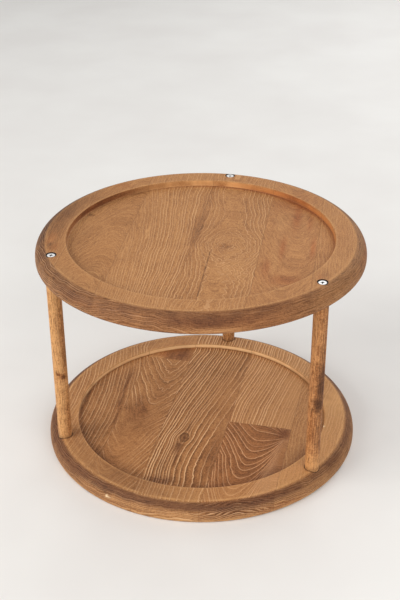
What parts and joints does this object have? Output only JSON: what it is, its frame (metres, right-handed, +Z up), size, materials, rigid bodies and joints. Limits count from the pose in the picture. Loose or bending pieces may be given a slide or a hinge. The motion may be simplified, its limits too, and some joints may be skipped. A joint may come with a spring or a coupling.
{
  "type": "tiered cake stand",
  "caption": "Round wooden cake stand: recessed trays of edge-glued staves, one above the other on dowel posts, screwed through the rims.",
  "frame": {"origin": "on the table, under the middle of the stand", "axes": "+Z up; +Y towards the rear post; the left and right posts stand on the -Y side"},
  "size_m": [0.3, 0.3, 0.21],
  "materials": {
    "upper_tray_wood": "brown stain on brushed softwood, satin, with fine pale grain lines",
    "lower_tray_wood": "brown stain on brushed softwood, satin, with strong pale grain lines and a small knot",
    "post_wood": "brown stain on a sanded dowel, satin, darker on its knots",
    "screw_zinc": "bright zinc plate"
  },
  "bodies": {
    "root": {"left_post": "post_wood", "lower_screw_left": "screw_zinc", "lower_screw_rear": "screw_zinc", "lower_screw_right": "screw_zinc", "lower_tray_stave_1": "lower_tray_wood", "lower_tray_stave_2_back": "lower_tray_wood", "lower_tray_stave_2_front": "lower_tray_wood", "lower_tray_stave_3": "lower_tray_wood", "lower_tray_stave_4_back": "lower_tray_wood", "lower_tray_stave_4_front": "lower_tray_wood", "lower_tray_stave_5": "lower_tray_wood", "rear_post": "post_wood", "right_post": "post_wood", "upper_screw_left": "screw_zinc", "upper_screw_rear": "screw_zinc", "upper_screw_right": "screw_zinc", "upper_tray_stave_1": "upper_tray_wood", "upper_tray_stave_2": "upper_tray_wood", "upper_tray_stave_3": "upper_tray_wood", "upper_tray_stave_4": "upper_tray_wood", "upper_tray_stave_5": "upper_tray_wood", "upper_tray_stave_6": "upper_tray_wood"}
  },
  "joints": []
}
